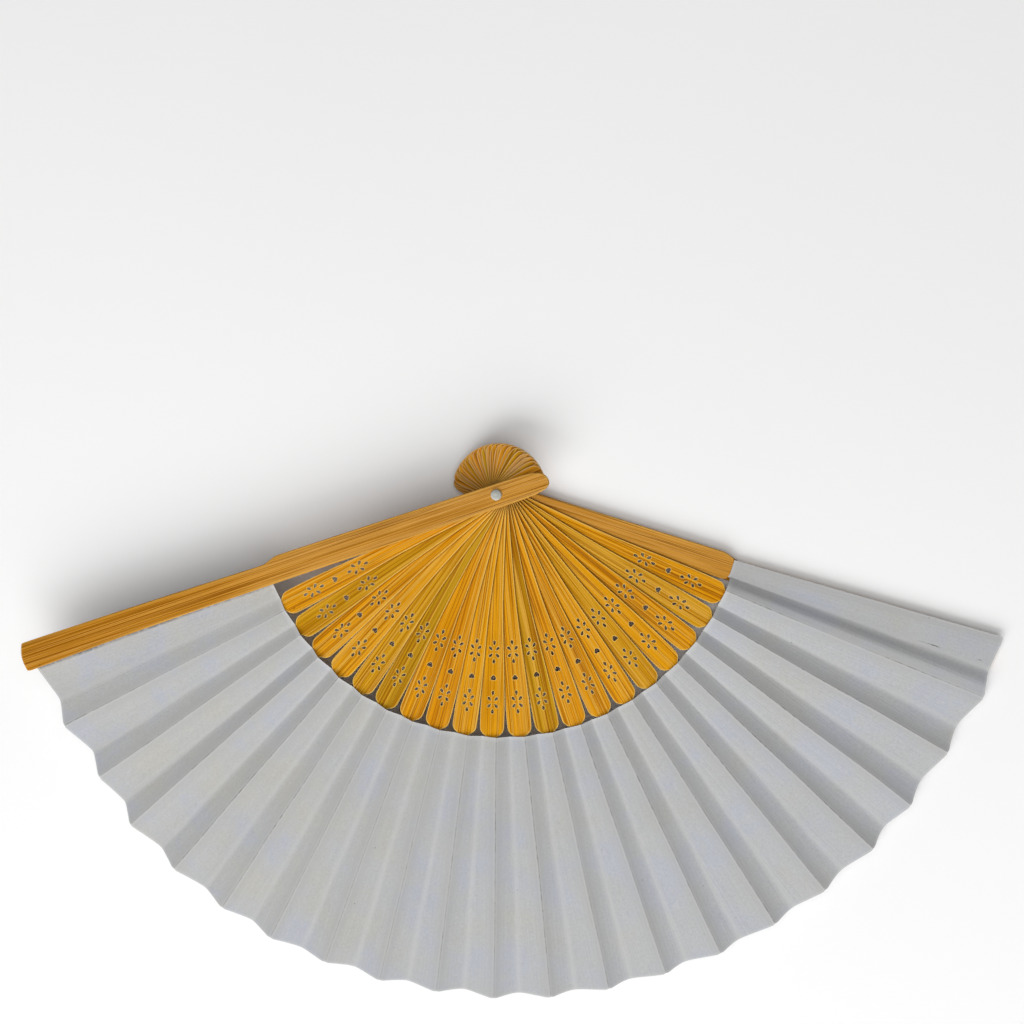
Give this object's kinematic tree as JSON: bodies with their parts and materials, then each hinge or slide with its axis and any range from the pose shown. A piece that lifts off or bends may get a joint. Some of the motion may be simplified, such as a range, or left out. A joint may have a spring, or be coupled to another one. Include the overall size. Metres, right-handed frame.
{
  "type": "folding fan",
  "caption": "Folding hand fan: pierced bamboo ribs and guard sticks turn on a rivet to spread or close a pleated white paper leaf.",
  "frame": {"origin": "on the rivet's axis, at the flat end of its rear head", "axes": "+Z along the rivet from the rear guard to the front guard, -Y from the rivet towards the middle of the open leaf, +X towards the rear guard's side"},
  "size_m": [0.363, 0.2063, 0.019],
  "materials": {
    "guard_bamboo": "lacquered bamboo, streaked along its length",
    "rib_bamboo": "lacquered bamboo, streaked along its length",
    "leaf_paper": "matt white paper",
    "rivet_plastic": "satin"
  },
  "bodies": {
    "rear_guard": {"rear_guard": "guard_bamboo", "rivet_pin": "rivet_plastic", "rivet_rear_cap": "rivet_plastic", "leaf_pleat_01": "leaf_paper"},
    "rib_01": {"rib_01": "rib_bamboo", "leaf_pleat_02": "leaf_paper"},
    "rib_02": {"rib_02": "rib_bamboo", "leaf_pleat_03": "leaf_paper"},
    "rib_03": {"rib_03": "rib_bamboo", "leaf_pleat_04": "leaf_paper"},
    "rib_04": {"rib_04": "rib_bamboo", "leaf_pleat_05": "leaf_paper"},
    "rib_05": {"rib_05": "rib_bamboo", "leaf_pleat_06": "leaf_paper"},
    "rib_06": {"rib_06": "rib_bamboo", "leaf_pleat_07": "leaf_paper"},
    "rib_07": {"rib_07": "rib_bamboo", "leaf_pleat_08": "leaf_paper"},
    "rib_08": {"rib_08": "rib_bamboo", "leaf_pleat_09": "leaf_paper"},
    "rib_09": {"rib_09": "rib_bamboo", "leaf_pleat_10": "leaf_paper"},
    "rib_10": {"rib_10": "rib_bamboo", "leaf_pleat_11": "leaf_paper"},
    "rib_11": {"rib_11": "rib_bamboo", "leaf_pleat_12": "leaf_paper"},
    "rib_12": {"rib_12": "rib_bamboo", "leaf_pleat_13": "leaf_paper"},
    "rib_13": {"rib_13": "rib_bamboo", "leaf_pleat_14": "leaf_paper"},
    "rib_14": {"rib_14": "rib_bamboo", "leaf_pleat_15": "leaf_paper"},
    "rib_15": {"rib_15": "rib_bamboo", "leaf_pleat_16": "leaf_paper"},
    "rib_16": {"rib_16": "rib_bamboo", "leaf_pleat_17": "leaf_paper"},
    "rib_17": {"rib_17": "rib_bamboo", "leaf_pleat_18": "leaf_paper"},
    "rib_18": {"rib_18": "rib_bamboo", "leaf_pleat_19": "leaf_paper"},
    "rib_19": {"rib_19": "rib_bamboo", "leaf_pleat_20": "leaf_paper"},
    "rib_20": {"rib_20": "rib_bamboo", "leaf_pleat_21": "leaf_paper"},
    "front_guard": {"front_guard": "guard_bamboo", "leaf_end_panel": "leaf_paper"}
  },
  "joints": [
    {"name": "fold_01", "type": "hinge", "parent": "rear_guard", "child": "rib_01", "pos_m": [0, 0, 0.00345], "axis": [0, 0, 1], "range_deg": [0, 6.74], "deforming": ["leaf_pleat_01", "leaf_pleat_02", "leaf_pleat_03", "leaf_pleat_04", "leaf_pleat_05", "leaf_pleat_06", "leaf_pleat_07", "leaf_pleat_08", "leaf_pleat_09", "leaf_pleat_10", "leaf_pleat_11", "leaf_pleat_12", "leaf_pleat_13", "leaf_pleat_14", "leaf_pleat_15", "leaf_pleat_16", "leaf_pleat_17", "leaf_pleat_18", "leaf_pleat_19", "leaf_pleat_20", "leaf_pleat_21", "leaf_end_panel"]},
    {"name": "fold_02", "type": "hinge", "parent": "rib_01", "child": "rib_02", "pos_m": [0, 0, 0.00407], "axis": [0, 0, 1], "range_deg": [0, 6.74]},
    {"name": "fold_03", "type": "hinge", "parent": "rib_02", "child": "rib_03", "pos_m": [0, 0, 0.00469], "axis": [0, 0, 1], "range_deg": [0, 6.74]},
    {"name": "fold_04", "type": "hinge", "parent": "rib_03", "child": "rib_04", "pos_m": [0, 0, 0.00531], "axis": [0, 0, 1], "range_deg": [0, 6.74]},
    {"name": "fold_05", "type": "hinge", "parent": "rib_04", "child": "rib_05", "pos_m": [0, 0, 0.00593], "axis": [0, 0, 1], "range_deg": [0, 6.74]},
    {"name": "fold_06", "type": "hinge", "parent": "rib_05", "child": "rib_06", "pos_m": [0, 0, 0.00655], "axis": [0, 0, 1], "range_deg": [0, 6.74]},
    {"name": "fold_07", "type": "hinge", "parent": "rib_06", "child": "rib_07", "pos_m": [0, 0, 0.00717], "axis": [0, 0, 1], "range_deg": [0, 6.74]},
    {"name": "fold_08", "type": "hinge", "parent": "rib_07", "child": "rib_08", "pos_m": [0, 0, 0.00779], "axis": [0, 0, 1], "range_deg": [0, 6.74]},
    {"name": "fold_09", "type": "hinge", "parent": "rib_08", "child": "rib_09", "pos_m": [0, 0, 0.00841], "axis": [0, 0, 1], "range_deg": [0, 6.74]},
    {"name": "fold_10", "type": "hinge", "parent": "rib_09", "child": "rib_10", "pos_m": [0, 0, 0.00903], "axis": [0, 0, 1], "range_deg": [0, 6.74]},
    {"name": "fold_11", "type": "hinge", "parent": "rib_10", "child": "rib_11", "pos_m": [0, 0, 0.00965], "axis": [0, 0, 1], "range_deg": [0, 6.74]},
    {"name": "fold_12", "type": "hinge", "parent": "rib_11", "child": "rib_12", "pos_m": [0, 0, 0.01027], "axis": [0, 0, 1], "range_deg": [0, 6.74]},
    {"name": "fold_13", "type": "hinge", "parent": "rib_12", "child": "rib_13", "pos_m": [0, 0, 0.01089], "axis": [0, 0, 1], "range_deg": [0, 6.74]},
    {"name": "fold_14", "type": "hinge", "parent": "rib_13", "child": "rib_14", "pos_m": [0, 0, 0.01151], "axis": [0, 0, 1], "range_deg": [0, 6.74]},
    {"name": "fold_15", "type": "hinge", "parent": "rib_14", "child": "rib_15", "pos_m": [0, 0, 0.01213], "axis": [0, 0, 1], "range_deg": [0, 6.74]},
    {"name": "fold_16", "type": "hinge", "parent": "rib_15", "child": "rib_16", "pos_m": [0, 0, 0.01275], "axis": [0, 0, 1], "range_deg": [0, 6.74]},
    {"name": "fold_17", "type": "hinge", "parent": "rib_16", "child": "rib_17", "pos_m": [0, 0, 0.01337], "axis": [0, 0, 1], "range_deg": [0, 6.74]},
    {"name": "fold_18", "type": "hinge", "parent": "rib_17", "child": "rib_18", "pos_m": [0, 0, 0.01399], "axis": [0, 0, 1], "range_deg": [0, 6.74]},
    {"name": "fold_19", "type": "hinge", "parent": "rib_18", "child": "rib_19", "pos_m": [0, 0, 0.01461], "axis": [0, 0, 1], "range_deg": [0, 6.74]},
    {"name": "fold_20", "type": "hinge", "parent": "rib_19", "child": "rib_20", "pos_m": [0, 0, 0.01523], "axis": [0, 0, 1], "range_deg": [0, 6.74]},
    {"name": "fold_front_guard", "type": "hinge", "parent": "rib_20", "child": "front_guard", "pos_m": [0, 0, 0.0167], "axis": [0, 0, 1], "range_deg": [0, 8.85]}
  ],
  "couplings": [
    {"joint": "fold_02", "follows": "fold_01", "ratio": 1},
    {"joint": "fold_03", "follows": "fold_01", "ratio": 1},
    {"joint": "fold_04", "follows": "fold_01", "ratio": 1},
    {"joint": "fold_05", "follows": "fold_01", "ratio": 1},
    {"joint": "fold_06", "follows": "fold_01", "ratio": 1},
    {"joint": "fold_07", "follows": "fold_01", "ratio": 1},
    {"joint": "fold_08", "follows": "fold_01", "ratio": 1},
    {"joint": "fold_09", "follows": "fold_01", "ratio": 1},
    {"joint": "fold_10", "follows": "fold_01", "ratio": 1},
    {"joint": "fold_11", "follows": "fold_01", "ratio": 1},
    {"joint": "fold_12", "follows": "fold_01", "ratio": 1},
    {"joint": "fold_13", "follows": "fold_01", "ratio": 1},
    {"joint": "fold_14", "follows": "fold_01", "ratio": 1},
    {"joint": "fold_15", "follows": "fold_01", "ratio": 1},
    {"joint": "fold_16", "follows": "fold_01", "ratio": 1},
    {"joint": "fold_17", "follows": "fold_01", "ratio": 1},
    {"joint": "fold_18", "follows": "fold_01", "ratio": 1},
    {"joint": "fold_19", "follows": "fold_01", "ratio": 1},
    {"joint": "fold_20", "follows": "fold_01", "ratio": 1},
    {"joint": "fold_front_guard", "follows": "fold_01", "ratio": 1.3127}
  ]
}
